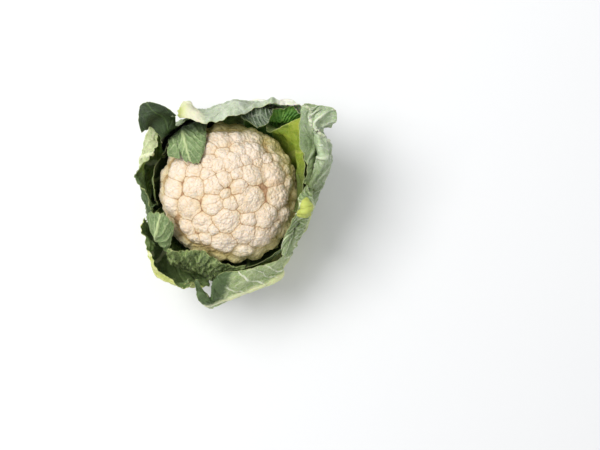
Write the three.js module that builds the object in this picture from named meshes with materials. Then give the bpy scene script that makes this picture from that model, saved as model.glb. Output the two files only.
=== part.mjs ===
// A whole cauliflower as sold: a round head of curd on its cut stalk, wrapped in
// fifteen trimmed leaves that stand in three whorls round it.
//
// Millimetres, +Z up. The origin is the middle of the stalk's cut face, which the
// vegetable stands on. Azimuths are in degrees, anticlockwise from +X seen from above.
import * as THREE from "three";
import { mergeVertices } from "three/addons/utils/BufferGeometryUtils.js";

// ---------------------------------------------------------------- driving dimensions
const CURD_RADIUS = 75; // widest half-width of the head
const CURD_OFFSET = -3; // the head sits a little to -X of the stalk's middle
const CURD_RISE = 54; // from the widest level up to the crown
const CURD_DROP = 30; // from the widest level down to the underside
const CURD_LEVEL = 88; // height of the widest level
const CURD_FLOOR = CURD_LEVEL - CURD_DROP; // height of the flat that meets the stalk

const STALK_CUT_RADIUS = 25; // cut face at the bottom
const STALK_WAIST_RADIUS = 24;
const STALK_TOP_RADIUS = 32;

const GAP = 0.4; // between pieces that touch in life
const BLADE = 2.2; // thickness of a leaf away from its rib
const LEAF_COLUMNS = 14; // grid cells across a leaf
const LEAF_ROWS = 20; // grid cells along a leaf
const CURD_DETAIL = 12; // subdivisions of the head's icosahedron

const DEG = Math.PI / 180;

// ---------------------------------------------------------------- small mathematics
/** Value at t (0 to 1) of a smooth curve through evenly spaced values. */
function through(values, t) {
  const last = values.length - 1;
  const at = Math.min(Math.max(t, 0), 1) * last;
  const i = Math.min(Math.floor(at), last - 1);
  const f = at - i;
  const p1 = values[i];
  const p2 = values[i + 1];
  const p0 = i > 0 ? values[i - 1] : 2 * p1 - p2;
  const p3 = i + 2 <= last ? values[i + 2] : 2 * p2 - p1;
  const bend = 2 * p0 - 5 * p1 + 4 * p2 - p3;
  const swing = 3 * (p1 - p2) + p3 - p0;
  return p1 + 0.5 * f * (p2 - p0 + f * (bend + f * swing));
}

/** Point at an azimuth in degrees, a radius and a height. */
function polar(azimuth, radius, height) {
  return new THREE.Vector3(
    radius * Math.cos(azimuth * DEG),
    radius * Math.sin(azimuth * DEG),
    height,
  );
}

// ---------------------------------------------------------------- curd
// The head's lobes as seen from above: [x, y, half-width].
const CROWN_LOBES = [
  [-12, 58, 11], [8, 60, 9], [24, 61, 11], [-22, 48, 8], [-7, 40, 9],
  [12, 44, 10], [26, 44, 11], [49, 47, 11], [52, 37, 8], [-22, 32, 7],
  [-57, 25, 12], [-64, 4, 12], [-38, 23, 10], [-23, 20, 8], [-10, 29, 8],
  [3, 32, 9], [19, 35, 6], [31, 33, 7], [40, 36, 6], [9, 20, 7],
  [24, 19, 11], [47, 20, 13], [-38, 5, 12], [-17, 7, 11], [-6, 14, 9],
  [12, 5, 8], [53, -5, 14], [22, -9, 14], [-4, -3, 6], [2, -13, 7],
  [-17, -14, 11], [-45, -18, 14], [-67, -14, 10], [-30, -34, 11], [-47, -38, 8],
  [-3, -31, 13], [21, -30, 8], [39, -27, 12], [58, -24, 7], [16, -45, 11],
  [34, -49, 14], [-17, -41, 5], [-26, -51, 8], [-39, -51, 6], [-6, -56, 13],
  [15, -65, 9], [31, -65, 9], [49, -41, 9], [62, 25, 7], [64, 8, 8],
  [-45, 42, 11], [-33, 59, 10], [39, 62, 8], [60, 38, 8],
];
// Rings of lobes round the side and under the rim: [height, radius, how many, half-width].
const SIDE_RINGS = [
  [92, 73, 22, 11],
  [77, 68, 18, 12],
  [66, 52, 13, 12],
];
const LOBE_OVERLAP = 1.25; // sphere radius over visible half-width
const CURD_CORE = 0.93; // the smooth body between the lobes, as a share of the head

/** The head's lobes as spheres from its middle, each just touching the outer dome. */
function curdLobes() {
  const crown = CROWN_LOBES.map(([x, y, half]) => {
    const across = x - CURD_OFFSET;
    const share = Math.min((across * across + y * y) / CURD_RADIUS ** 2, 0.97);
    const top = new THREE.Vector3(across, y, CURD_RISE * Math.sqrt(1 - share));
    const out = new THREE.Vector3(
      across / CURD_RADIUS ** 2,
      y / CURD_RADIUS ** 2,
      top.z / CURD_RISE ** 2,
    ).normalize();
    return { centre: top.addScaledVector(out, -half * LOBE_OVERLAP), radius: half * LOBE_OVERLAP };
  });
  const sides = SIDE_RINGS.flatMap(([height, radius, count, half], ring) =>
    Array.from({ length: count }, (_, i) => {
      const azimuth = ((i + ring * 0.5) * 360) / count;
      const r = half * LOBE_OVERLAP;
      return { centre: polar(azimuth, radius - r, height - CURD_LEVEL), radius: r };
    }),
  );
  return [...crown, ...sides];
}

/** The head: an icosahedron pushed out to the furthest lobe in each direction, flat below. */
function curdGeometry() {
  const lobes = curdLobes();
  const geometry = new THREE.IcosahedronGeometry(1, CURD_DETAIL);
  geometry.deleteAttribute("normal");
  geometry.deleteAttribute("uv");
  const merged = mergeVertices(geometry);
  const position = merged.getAttribute("position");
  const d = new THREE.Vector3();
  for (let i = 0; i < position.count; i++) {
    d.fromBufferAttribute(position, i).normalize();
    const tall = d.z > 0 ? CURD_RISE : CURD_DROP;
    const flat = (d.x * d.x + d.y * d.y) / CURD_RADIUS ** 2;
    let reach = CURD_CORE / Math.sqrt(flat + (d.z / tall) ** 2);
    for (const { centre, radius } of lobes) {
      const along = d.dot(centre);
      const inside = along * along - centre.lengthSq() + radius * radius;
      if (inside > 0) reach = Math.max(reach, along + Math.sqrt(inside));
    }
    d.multiplyScalar(reach);
    position.setXYZ(i, d.x + CURD_OFFSET, d.y, Math.max(d.z + CURD_LEVEL, CURD_FLOOR));
  }
  return merged;
}

// ---------------------------------------------------------------- stalk
/** The stalk, turned about the axis: a cut face, a waist and a flare under the head. */
function stalkGeometry() {
  const top = CURD_FLOOR - GAP;
  const profile = [
    [0, 0],
    [STALK_CUT_RADIUS - 1, 0],
    [STALK_CUT_RADIUS, 1.5],
    [STALK_WAIST_RADIUS, 14],
    [STALK_WAIST_RADIUS + 1, 30],
    [STALK_WAIST_RADIUS + 3.5, 43],
    [STALK_TOP_RADIUS, top],
    [0, top],
  ];
  const geometry = new THREE.LatheGeometry(
    profile.map(([r, z]) => new THREE.Vector2(r, z)),
    36,
  );
  return geometry.rotateX(Math.PI / 2);
}

// ---------------------------------------------------------------- leaves
// A leaf's upper face is a sheet through rows of points. The first three rows, the petiole,
// are the whorl's and lie evenly on an arc: its half-angle, radius and height. The rest are
// the leaf's own, from its belly up to its margin, each row running anticlockwise as seen
// from above from one side of the leaf to the other. The rib runs from its first place
// across the leaf, at the stalk, to its second, at the margin.
const WHORLS = {
  outer: {
    petiole: [
      { half: 29, r: 26, z: 19 },
      { half: 19, r: 58, z: 23 },
      { half: 22, r: 86, z: 44 },
    ],
    rib: 10.5,
  },
  middle: {
    petiole: [
      { half: 26, r: 27.5, z: 35 },
      { half: 20, r: 55, z: 37 },
      { half: 25, r: 78, z: 57 },
    ],
    rib: 9,
  },
  inner: {
    petiole: [
      { half: 17, r: 32.5, z: 52 },
      { half: 17, r: 55, z: 57 },
      { half: 21, r: 73, z: 71 },
    ],
    rib: 5,
  },
};
const PETIOLE_POINTS = 7; // points across each of a petiole's rows
const RIB_TIP = 1.2; // the rib's height at the margin
const RIB_HALF_WIDTH = [17, 17, 13, 8, 5, 3.5]; // along the leaf, from the stalk out

// Margins and folds are placed in a view from straight above, VIEW_SIZE steps wide and deep,
// whose eye is VIEW_EYE over the floor, so that higher things look bigger in it.
const VIEW_SIZE = [600, 450];
const VIEW_EYE = 1600; // height of the eye
const VIEW_LEVEL = 110; // the height at which one step of the view is VIEW_STEP
const VIEW_STEP = 1.05;
const VIEW_MIDDLE = [73.5, -34.65]; // the place under the middle of the view

/** A row of points from places in the view: [steps across, steps down, height]. */
function seen(...places) {
  return places.map(([across, down, height]) => {
    const step = (VIEW_STEP * (VIEW_EYE - height)) / (VIEW_EYE - VIEW_LEVEL);
    const x = VIEW_MIDDLE[0] + (across - VIEW_SIZE[0] / 2) * step;
    const y = VIEW_MIDDLE[1] + (VIEW_SIZE[1] / 2 - down) * step;
    return [Math.round(x), Math.round(y), height];
  });
}

/** A row of points on an arc round the axis, with a height for each or one for all. */
function ring(from, to, radii, heights) {
  return radii.map((radius, i) => {
    const azimuth = from + ((to - from) * i) / (radii.length - 1);
    const { x, y } = polar(azimuth, radius, 0);
    return [Math.round(x), Math.round(y), heights[i] ?? heights];
  });
}

const LEAVES = [
  // ---- outer whorl
  {
    name: "leaf_right", whorl: "outer", azimuth: 14, rib: [0.5, 0.93],
    rows: [
      ring(-12, 46, [86, 89, 94, 99, 102, 103, 102, 101], 76),
      seen([313, 190, 104], [319, 182.1, 110], [323, 173, 114], [327, 160, 116], [326, 147, 118],
           [321, 135, 120], [320, 127, 124], [331, 123, 126]),
      seen([311, 188, 118], [315, 179, 129], [320, 170, 137], [323, 158, 142], [321, 146, 144],
           [318, 134, 143], [316, 122, 142], [336, 109, 142]),
      seen([308, 186, 119], [312, 177, 125], [315, 167, 124], [317, 156, 121], [315, 145, 120],
           [313, 134, 124], [310, 115, 142], [320, 105, 146]),
      seen([305, 184, 122], [308, 176, 129], [311, 167, 131], [311, 156, 131], [310, 145, 131],
           [308, 134, 133], [304, 112, 146], [311, 103, 147]),
      seen([302, 183, 124], [305, 176, 132], [306, 167, 136], [303, 156, 138], [299, 145, 139],
           [299, 133, 141], [300, 109, 147], [304, 103, 147]),
    ],
  },
  {
    name: "leaf_top", whorl: "outer", azimuth: 82, rib: [0.32, 0.2],
    rows: [
      ring(52, 121, [104, 103, 101, 99, 97, 95, 94, 92, 90, 93, 97], 76),
      seen([302, 109, 100], [292, 105, 104], [280, 104, 107], [267, 104, 109], [252, 106, 111],
           [236, 102, 113], [222, 108, 112], [208, 114, 109], [197, 111, 107], [187, 106, 104],
           [179, 114, 98]),
      seen([302, 109, 109], [292, 105, 114], [280, 104, 118], [268, 104, 121], [251, 107, 123],
           [237, 105, 130], [223, 112, 131], [210, 117, 126], [198, 112, 121], [187, 107, 118],
           [179, 117, 110]),
      seen([303, 110, 113], [291, 107, 117], [280, 106, 120], [269, 107, 124], [254, 111, 129],
           [240, 117, 137], [227, 119, 140], [212, 121, 138], [203, 125, 132], [191, 120, 125],
           [180, 119, 116]),
    ],
  },
  {
    name: "leaf_left", whorl: "outer", azimuth: 160, rib: [0.45, 0.35],
    rows: [
      ring(133, 197, [102, 101, 100, 99, 97, 95, 93, 91], 76),
      seen([160, 118, 97], [149, 134, 104], [145, 150, 102], [143, 162, 100], [145, 174, 99],
           [147, 185, 97], [150, 198, 95], [155, 207, 92]),
      seen([150, 121, 104], [150, 134, 112], [149, 150, 115], [145, 161, 112], [140, 174, 108],
           [144, 185, 105], [149, 199, 102], [155, 207, 98]),
      seen([159, 124, 108], [161, 136, 116], [158, 149, 119], [150, 159, 118], [132, 177, 112],
           [142, 184, 110], [148, 201, 107], [156, 208, 102]),
    ],
  },
  {
    name: "leaf_lower_left", whorl: "outer", azimuth: 226, rib: [0.35, 0.4],
    rows: [
      ring(203, 257, [95, 100, 106, 110, 111, 109, 106, 101], 76),
      seen([149, 222, 97], [147, 232, 95], [154, 244, 96], [152, 256, 96], [153, 268, 96],
           [166, 279, 96], [179, 283, 97], [192, 281, 97]),
      seen([146, 218, 106], [143, 230, 103], [149, 243, 104], [151, 257, 108], [157, 269, 107],
           [168, 279, 105], [181, 285, 104], [193, 283, 101]),
      seen([145, 216, 113], [141, 229, 110], [145, 242, 108], [153, 257, 113], [159, 269, 112],
           [169, 279, 110], [182, 288, 108], [194, 284, 104]),
    ],
  },
  {
    name: "leaf_bottom", whorl: "outer", azimuth: 308, rib: [0.4, 0.26],
    rows: [
      ring(285, 305, [91, 95, 95, 92, 88], [48, 55, 66, 78, 86]),
      seen([270, 280, 57], [275, 277, 71], [279, 271, 85], [280, 266, 97], [278, 259, 107]),
      seen([252, 288, 59], [256, 286, 77], [257, 281, 92], [257, 275, 106], [256, 267, 116]),
      seen([237, 296, 60], [238, 293, 79], [238, 288, 94], [237, 280, 106], [237, 270, 114]),
      seen([223, 303, 64], [221, 299, 83], [220, 293, 96], [218, 284, 105], [217, 273, 111]),
      seen([211, 308, 70], [207, 304, 86], [204, 298, 96], [200, 289, 103], [197, 277, 108]),
      seen([208, 309, 75], [203, 305, 88], [198, 300, 96], [195, 293, 100], [195, 285, 104]),
    ],
  },
  // ---- middle whorl
  {
    name: "middle_leaf_right", whorl: "middle", azimuth: 335, rib: [0.6, 0.7],
    rows: [
      ring(313, 347, [83, 83, 84, 84, 84, 84, 83, 82], 80),
      seen([289, 257, 100], [291, 243, 106], [296, 232, 110], [302, 222, 113], [308, 213, 115],
           [310, 204, 115], [310, 197, 113], [310, 184, 104]),
      seen([286, 256, 112], [289, 242, 118], [295, 229, 99], [301, 221, 103], [307, 212, 130],
           [308, 204, 132], [307, 197, 121], [309, 183, 108]),
      seen([284, 256, 114], [286, 241, 123], [290, 229, 119], [296, 219, 121], [303, 212, 136],
           [304, 204, 137], [303, 197, 126], [308, 183, 111]),
      seen([281, 255, 112], [283, 240, 121], [287, 229, 126], [292, 219, 128], [298, 212, 129],
           [299, 204, 130], [299, 196, 127], [307, 184, 113]),
    ],
  },
  {
    name: "middle_leaf_upper_right", whorl: "middle", azimuth: 56, rib: [0.45, 0.3],
    rows: [
      ring(33, 84, [90, 92, 93, 95, 94, 92, 90, 88], 82),
      seen([303, 119, 102], [294, 120, 103], [285, 122, 103], [276, 123, 103], [267, 121, 103],
           [259, 119, 102], [250, 118, 101], [243, 118, 100]),
      seen([304, 115, 112], [295, 112, 111], [285, 111, 111], [275, 111, 113], [267, 111, 118],
           [258, 107, 120], [248, 110, 116], [241, 113, 112]),
      seen([305, 113, 118], [296, 110, 116], [286, 109, 115], [276, 110, 117], [270, 121, 125],
           [260, 129, 124], [250, 125, 121], [241, 119, 117]),
    ],
  },
  {
    name: "middle_leaf_upper_left", whorl: "middle", azimuth: 128, rib: [0.45, 0.5],
    rows: [
      ring(117, 146, [91, 92, 92, 92, 91], 80),
      ring(128, 144, [88, 88, 88, 88, 88], [116, 120, 122, 122, 119]),
      seen([176, 122, 120], [171, 120, 127], [164, 120, 131], [157, 123, 131], [151, 128, 124]),
      seen([175, 118, 131], [165, 113, 141], [154, 112, 145], [146, 119, 143], [146, 130, 130]),
      seen([176, 115, 131], [162, 104, 138], [145, 101, 140], [136, 113, 138], [141, 133, 128]),
    ],
  },
  {
    name: "middle_leaf_left", whorl: "middle", azimuth: 194, rib: [0.5, 0.5],
    rows: [
      ring(168, 220, [82, 83, 84, 84, 84], 66),
      ring(170, 218, [85, 87, 88, 88, 86], [72, 75, 76, 75, 73]),
    ],
  },
  {
    name: "middle_leaf_bottom", whorl: "middle", azimuth: 262, rib: [0.5, 0.5],
    rows: [
      ring(230, 290, [91, 92, 92, 92, 91, 90, 89], 78),
      seen([166, 257, 93], [175, 262, 93], [187, 265, 93], [200, 268, 93], [213, 271, 92],
           [229, 273, 90], [246, 272, 88]),
      seen([165, 251, 108], [174, 254, 111], [187, 257, 111], [199.9, 259, 110], [214, 263, 105],
           [230, 267, 101], [247, 266, 98]),
      seen([168, 246, 116], [178, 245, 119], [190, 246, 119], [203, 248, 118], [215, 254, 112],
           [230, 263, 105], [248, 263, 102]),
    ],
  },
  // ---- inner whorl
  {
    name: "inner_leaf_upper_right", whorl: "inner", azimuth: 32, rib: [0.5, 0.6],
    rows: [
      ring(-2, 62, [81, 82, 82, 83, 83, 82, 81], 90),
      seen([293, 211, 100], [296, 195, 102], [297, 178, 104], [296, 161, 105], [292, 146, 106],
           [284, 136, 106], [268, 131, 104]),
      seen([298, 213, 110], [302, 198, 114], [304, 180, 118], [304, 162, 122], [303, 146, 126],
           [302, 130, 129], [302, 115, 128]),
    ],
  },
  {
    name: "inner_leaf_upper_left", whorl: "inner", azimuth: 118, rib: [0.35, 0.5],
    rows: [
      ring(103, 150, [81, 82, 82, 82, 81], 90),
      ring(104, 151, [81, 81, 81, 82, 81], [100, 102, 103, 102, 99]),
      seen([207, 127, 112], [194, 127, 114], [182, 131, 113], [175, 135, 111], [169, 141, 108]),
      seen([206, 142, 128], [197, 143, 131], [186, 143, 131], [176, 147, 127], [166, 151, 118]),
      seen([203, 158, 133], [199, 163, 134], [191, 165, 133], [180, 160, 127], [169, 162, 118]),
    ],
  },
  {
    name: "inner_leaf_left", whorl: "inner", azimuth: 165, rib: [0.5, 0.5],
    rows: [
      ring(152, 190, [81, 81, 81, 81, 80], 84),
      ring(154, 188, [82, 82, 82, 81, 80], [92, 93, 94, 93, 92]),
      ring(155, 186, [82, 83, 82, 81, 80], [98, 101, 102, 101, 98]),
    ],
  },
  {
    name: "inner_leaf_lower_left", whorl: "inner", azimuth: 212, rib: [0.5, 0.5],
    rows: [
      ring(194, 231, [81, 82, 82, 82, 81], 88),
      seen([152, 223, 102], [154, 231, 104], [158, 239, 105], [164, 247, 105], [171, 252, 103]),
      seen([149, 219, 113], [152, 227, 118], [157, 235, 120], [164, 240, 119], [171, 243, 114]),
      seen([147, 216, 118], [151, 221, 124], [158, 227, 127], [166, 231, 126], [173, 234, 121]),
      seen([150, 211, 117], [154, 209, 122], [161, 211, 126], [168, 214, 127], [176, 217, 124]),
    ],
  },
  {
    name: "inner_leaf_bottom", whorl: "inner", azimuth: 284, rib: [0.5, 0.5],
    rows: [
      ring(246, 318, [80, 81, 81, 81, 80], [76, 78, 80, 80, 80]),
      ring(248, 317, [80, 81, 81, 81, 80], [80, 82, 86, 88, 86]),
      ring(251, 316, [80, 80, 80, 80, 80], [83, 85, 90, 93, 91]),
    ],
  },
];


/** A leaf's rows of points from the stalk to its margin, with the petiole's from its whorl. */
function rowsOf({ whorl, azimuth, rows }) {
  const petiole = WHORLS[whorl].petiole.map(({ half, r, z }) =>
    Array.from({ length: PETIOLE_POINTS }, (_, i) =>
      polar(azimuth + half * ((2 * i) / (PETIOLE_POINTS - 1) - 1), r, z).toArray(),
    ),
  );
  return [...petiole, ...rows];
}

/** The point of a leaf's upper face at u across (0 to 1) and v along (0 to 1). */
function sheetPoint(rows, u, v) {
  const place = [0, 1, 2].map((axis) =>
    through(rows.map((row) => through(row.map((point) => point[axis]), u)), v),
  );
  return new THREE.Vector3(...place);
}

/** Where the rib is across a leaf, v along it: it swings from its first place to its second. */
function ribPlace([from, to], v) {
  return from + (to - from) * THREE.MathUtils.smoothstep(v, 0.35, 0.85);
}

/** The closed solid of a leaf: its upper face, and the same face set back by its thickness. */
function leafGeometry(leaf) {
  const rows = rowsOf(leaf);
  const rib = WHORLS[leaf.whorl].rib;
  const points = [[], []];
  const step = 1e-3;
  for (let j = 0; j <= LEAF_ROWS; j++) {
    const v = j / LEAF_ROWS;
    const line = Array.from({ length: LEAF_COLUMNS + 1 }, (_, i) =>
      sheetPoint(rows, i / LEAF_COLUMNS, v),
    );
    const width = line.slice(1).reduce((sum, p, i) => sum + p.distanceTo(line[i]), 0);
    line.forEach((point, i) => {
      const u = i / LEAF_COLUMNS;
      const across = sheetPoint(rows, u + step, v).sub(sheetPoint(rows, u - step, v));
      const along = sheetPoint(rows, u, Math.min(v + step, 1)).sub(
        sheetPoint(rows, u, Math.max(v - step, 0)),
      );
      const back = across.cross(along).normalize();
      const fromRib = ((u - ribPlace(leaf.rib, v)) * width) / through(RIB_HALF_WIDTH, v);
      const high = rib + (RIB_TIP - rib) * v ** 0.8;
      points[0].push(point);
      points[1].push(point.clone().addScaledVector(back, BLADE + high * Math.exp(-fromRib * fromRib)));
    });
  }
  return closedSheet(points);
}

/** Joins two grids of points, front and back, into one closed surface. */
function closedSheet([front, back]) {
  const stride = LEAF_COLUMNS + 1;
  const behind = front.length;
  const index = [];
  const quad = (a, b, c, d) => index.push(a, b, c, a, c, d);
  for (let j = 0; j < LEAF_ROWS; j++) {
    for (let i = 0; i < LEAF_COLUMNS; i++) {
      const a = j * stride + i;
      quad(a, a + stride, a + stride + 1, a + 1);
      quad(behind + a, behind + a + 1, behind + a + stride + 1, behind + a + stride);
    }
    const left = j * stride;
    const right = left + LEAF_COLUMNS;
    quad(left, behind + left, behind + left + stride, left + stride);
    quad(right, right + stride, behind + right + stride, behind + right);
  }
  for (let i = 0; i < LEAF_COLUMNS; i++) {
    const top = LEAF_ROWS * stride + i;
    quad(i, i + 1, behind + i + 1, behind + i);
    quad(top, behind + top, behind + top + 1, top + 1);
  }
  const geometry = new THREE.BufferGeometry().setFromPoints([...front, ...back]);
  geometry.setIndex(index);
  return geometry;
}

// ---------------------------------------------------------------- assembly
const CREAM = new THREE.MeshStandardMaterial({ color: 0xeedfc6, roughness: 0.75 });
const PALE_STALK = new THREE.MeshStandardMaterial({ color: 0xdfe2b4, roughness: 0.6 });
const LEAF_GREEN = {
  outer: new THREE.MeshStandardMaterial({ color: 0x9bad82, roughness: 0.55 }),
  middle: new THREE.MeshStandardMaterial({ color: 0x6f8a4e, roughness: 0.5 }),
  inner: new THREE.MeshStandardMaterial({ color: 0x8ea548, roughness: 0.5 }),
};

function named(name, geometry, material) {
  const mesh = new THREE.Mesh(geometry, material);
  mesh.name = name;
  return mesh;
}

const cauliflower = new THREE.Group();
cauliflower.add(named("stalk", stalkGeometry(), PALE_STALK));
cauliflower.add(named("curd", curdGeometry(), CREAM));
for (const leaf of LEAVES) {
  cauliflower.add(named(leaf.name, leafGeometry(leaf), LEAF_GREEN[leaf.whorl]));
}

export default cauliflower;
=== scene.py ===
"""A whole cauliflower, standing on its cut stalk and seen from straight above.

Metres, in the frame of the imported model: the origin is the middle of the stalk's cut face, +Z is up.
The head, the stalk and the fifteen leaves are each a mesh of their own that stands for its CAD node.
Shapes are worked out in mm.
"""

import math
from itertools import product

import bpy
import numpy as np
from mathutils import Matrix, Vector
from mathutils.kdtree import KDTree


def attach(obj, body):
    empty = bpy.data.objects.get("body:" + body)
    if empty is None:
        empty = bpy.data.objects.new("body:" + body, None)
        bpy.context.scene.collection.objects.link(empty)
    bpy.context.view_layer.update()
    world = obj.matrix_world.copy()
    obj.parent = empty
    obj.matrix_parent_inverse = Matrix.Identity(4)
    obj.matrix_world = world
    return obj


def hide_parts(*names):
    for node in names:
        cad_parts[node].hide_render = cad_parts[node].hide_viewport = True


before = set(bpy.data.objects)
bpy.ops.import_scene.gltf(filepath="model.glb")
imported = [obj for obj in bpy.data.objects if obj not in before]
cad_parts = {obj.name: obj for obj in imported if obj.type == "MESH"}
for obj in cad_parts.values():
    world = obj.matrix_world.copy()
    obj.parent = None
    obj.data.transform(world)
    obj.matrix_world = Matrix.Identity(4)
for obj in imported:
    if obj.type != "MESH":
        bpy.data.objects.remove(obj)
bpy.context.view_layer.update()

MM = 0.001
BODY = "root"

# ---------------------------------------------------------------- smooth noise
NOISE_CELLS = 256  # before the noise repeats
NOISE_GAIN = 1.7  # brings it to about -1 to 1
noise_random = np.random.default_rng(20261)
GRADIENTS = noise_random.normal(size=(NOISE_CELLS, 3))
GRADIENTS /= np.linalg.norm(GRADIENTS, axis=1)[:, None]
SHUFFLE = noise_random.permutation(NOISE_CELLS)


def noise(x, y, z=0.0):
    """Smooth noise from about -1 to 1, with features about one unit across."""
    x, y, z = np.broadcast_arrays(np.asarray(x, float), y, z)
    point = np.stack([x, y, z], -1)
    cell = np.floor(point).astype(int)
    part = point - cell
    ease = part**3 * (part * (part * 6 - 15) + 10)
    total = np.zeros(x.shape)
    for corner in product((0, 1), repeat=3):
        at = cell + corner
        key = SHUFFLE[at[..., 0] % NOISE_CELLS]
        key = SHUFFLE[(key + at[..., 1]) % NOISE_CELLS]
        key = SHUFFLE[(key + at[..., 2]) % NOISE_CELLS]
        weight = np.prod(np.where(corner, ease, 1 - ease), axis=-1)
        total += weight * np.sum(GRADIENTS[key] * (part - corner), axis=-1)
    return total * NOISE_GAIN


def smooth(low, high, value):
    """0 below low, 1 above high, eased between."""
    t = np.clip((np.asarray(value, float) - low) / (high - low), 0, 1)
    return t * t * (3 - 2 * t)


def bell(value, middle, width):
    """1 at the middle, falling to nothing a few widths away."""
    return np.exp(-(((value - middle) / width) ** 2))


# ---------------------------------------------------------------- meshes
def make_piece(name, points, faces, material, node, attributes=None):
    """A smooth-shaded mesh from points in mm, riding on the body in place of its CAD node."""
    mesh = bpy.data.meshes.new(name)
    mesh.from_pydata((np.asarray(points) * MM).tolist(), [], faces)
    mesh.polygons.foreach_set("use_smooth", np.ones(len(mesh.polygons), bool))
    for key, values in (attributes or {}).items():
        values = np.asarray(values, np.float32)
        kind, field = ("FLOAT", "value") if values.ndim == 1 else ("FLOAT_VECTOR", "vector")
        mesh.attributes.new(key, kind, "POINT").data.foreach_set(field, values.ravel())
    mesh.materials.append(material)
    mesh.validate()
    piece = bpy.data.objects.new(name, mesh)
    bpy.context.scene.collection.objects.link(piece)
    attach(piece, BODY)
    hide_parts(node)
    return piece


# ---------------------------------------------------------------- material nodes
SUBSURFACE_WEIGHT = 0.25


def srgb(red, green, blue):
    """A colour from 0 to 255 a channel, as the linear values that shaders take."""
    values = [c / 255 for c in (red, green, blue)]
    return (*[v / 12.92 if v <= 0.04045 else ((v + 0.055) / 1.055) ** 2.4 for v in values], 1.0)


class Shader:
    """A material and short ways to add nodes to it. What they return is an output socket."""

    def __init__(self, name):
        self.material = bpy.data.materials.new(name)
        self.material.use_nodes = True
        self.tree = self.material.node_tree

    def set(self, node, socket, value):
        if isinstance(value, bpy.types.NodeSocket):
            self.tree.links.new(value, node.inputs[socket])
        else:
            node.inputs[socket].default_value = value

    def add(self, kind, inputs, **properties):
        """A new node, with values or sockets for its inputs."""
        node = self.tree.nodes.new(kind)
        for key, value in properties.items():
            setattr(node, key, value)
        for socket, value in inputs.items():
            self.set(node, socket, value)
        return node

    def attribute(self, name, output="Fac"):
        return self.add("ShaderNodeAttribute", {}, attribute_name=name).outputs[output]

    def calc(self, operation, *values):
        return self.add("ShaderNodeMath", dict(enumerate(values)), operation=operation).outputs[0]

    def plus(self, first, second):
        return self.calc("ADD", first, second)

    def times(self, first, second):
        return self.calc("MULTIPLY", first, second)

    def ease(self, value, low, high, to_low=0.0, to_high=1.0):
        inputs = {"Value": value, "From Min": low, "From Max": high, "To Min": to_low, "To Max": to_high}
        node = self.add("ShaderNodeMapRange", inputs, interpolation_type="SMOOTHSTEP")
        return node.outputs["Result"]

    def blend(self, share, low, high):
        """A number between two others."""
        return self.add("ShaderNodeMix", {0: share, 2: low, 3: high}, data_type="FLOAT").outputs[0]

    def mix(self, share, low, high, blend="MIX"):
        """A colour between two others."""
        inputs = {0: share, 6: low, 7: high}
        return self.add("ShaderNodeMix", inputs, data_type="RGBA", blend_type=blend).outputs[2]

    def scaled(self, vector, scale):
        return self.add("ShaderNodeMapping", {"Vector": vector, "Scale": scale}).outputs[0]

    def axes(self, vector):
        return self.add("ShaderNodeSeparateXYZ", {0: vector}).outputs

    def place(self):
        """Where a point is in its object, in metres."""
        return self.add("ShaderNodeTexCoord", {}).outputs["Object"]

    def noise(self, vector, scale, detail, rough):
        inputs = {"Vector": vector, "Scale": scale, "Detail": detail, "Roughness": rough}
        return self.add("ShaderNodeTexNoise", inputs).outputs["Fac"]

    def voronoi(self, vector, scale, feature="F1"):
        inputs = {"Vector": vector, "Scale": scale}
        return self.add("ShaderNodeTexVoronoi", inputs, feature=feature).outputs["Distance"]

    def bump(self, height, distance, strength, below=None):
        inputs = {"Height": height, "Distance": distance, "Strength": strength}
        if below is not None:
            inputs["Normal"] = below
        return self.add("ShaderNodeBump", inputs).outputs[0]

    def surface(self, inputs):
        """Sets inputs of the surface, and gives back the finished material."""
        for socket, value in inputs.items():
            self.set(self.tree.nodes["Principled BSDF"], socket, value)
        return self.material


# ---------------------------------------------------------------- leaf shape
def through(values, t):
    """Value at t (0 to 1) of a smooth curve through evenly spaced values, each an array or a number."""
    stack = np.stack([np.broadcast_to(np.asarray(v, float), np.shape(t)) for v in values])
    last = len(stack) - 1
    at = np.clip(t, 0, 1) * last
    i = np.minimum(np.floor(at).astype(int), last - 1)
    f = at - i

    def pick(k):
        return np.take_along_axis(stack, k[None], 0)[0]

    p1, p2 = pick(i), pick(i + 1)
    p0 = np.where(i > 0, pick(np.maximum(i - 1, 0)), 2 * p1 - p2)
    p3 = np.where(i + 2 <= last, pick(np.minimum(i + 2, last)), 2 * p2 - p1)
    bend = 2 * p0 - 5 * p1 + 4 * p2 - p3
    swing = 3 * (p1 - p2) + p3 - p0
    return p1 + 0.5 * f * (p2 - p0 + f * (bend + f * swing))


def polar(azimuth, radius, height):
    """Points at azimuths in degrees round the axis."""
    angle = np.radians(azimuth)
    return np.stack([radius * np.cos(angle), radius * np.sin(angle), height + 0 * angle], -1)


# The petiole's rows of each whorl: half-angle, radius, height.
PETIOLES = {
    "outer": [(29, 26, 19), (19, 58, 23), (22, 86, 44)],
    "middle": [(26, 27.5, 35), (20, 55, 37), (25, 78, 57)],
    "inner": [(17, 32.5, 52), (17, 55, 57), (21, 73, 71)],
}
PETIOLE_POINTS = 7  # points across each of a petiole's rows
RIB_HEIGHT = {"outer": 10.5, "middle": 9.0, "inner": 5.0}
RIB_TIP = 1.0  # the rib's height at the margin
RIB_HALF_WIDTH = [17, 16, 11, 7, 4.5, 3]  # along the leaf, from the stalk out
GRID = {"outer": (120, 150), "middle": (90, 120), "inner": (72, 90)}  # cells across, along

# Margins and folds are placed in a view from straight above, VIEW_SIZE steps wide and deep,
# whose eye is VIEW_EYE over the floor, so that higher things look bigger in it.
VIEW_SIZE = (600, 450)
VIEW_EYE = 1600
VIEW_LEVEL = 110  # the height at which one step of the view is VIEW_STEP
VIEW_STEP = 1.05
VIEW_MIDDLE = (73.5, -34.65)  # the place under the middle of the view


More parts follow.
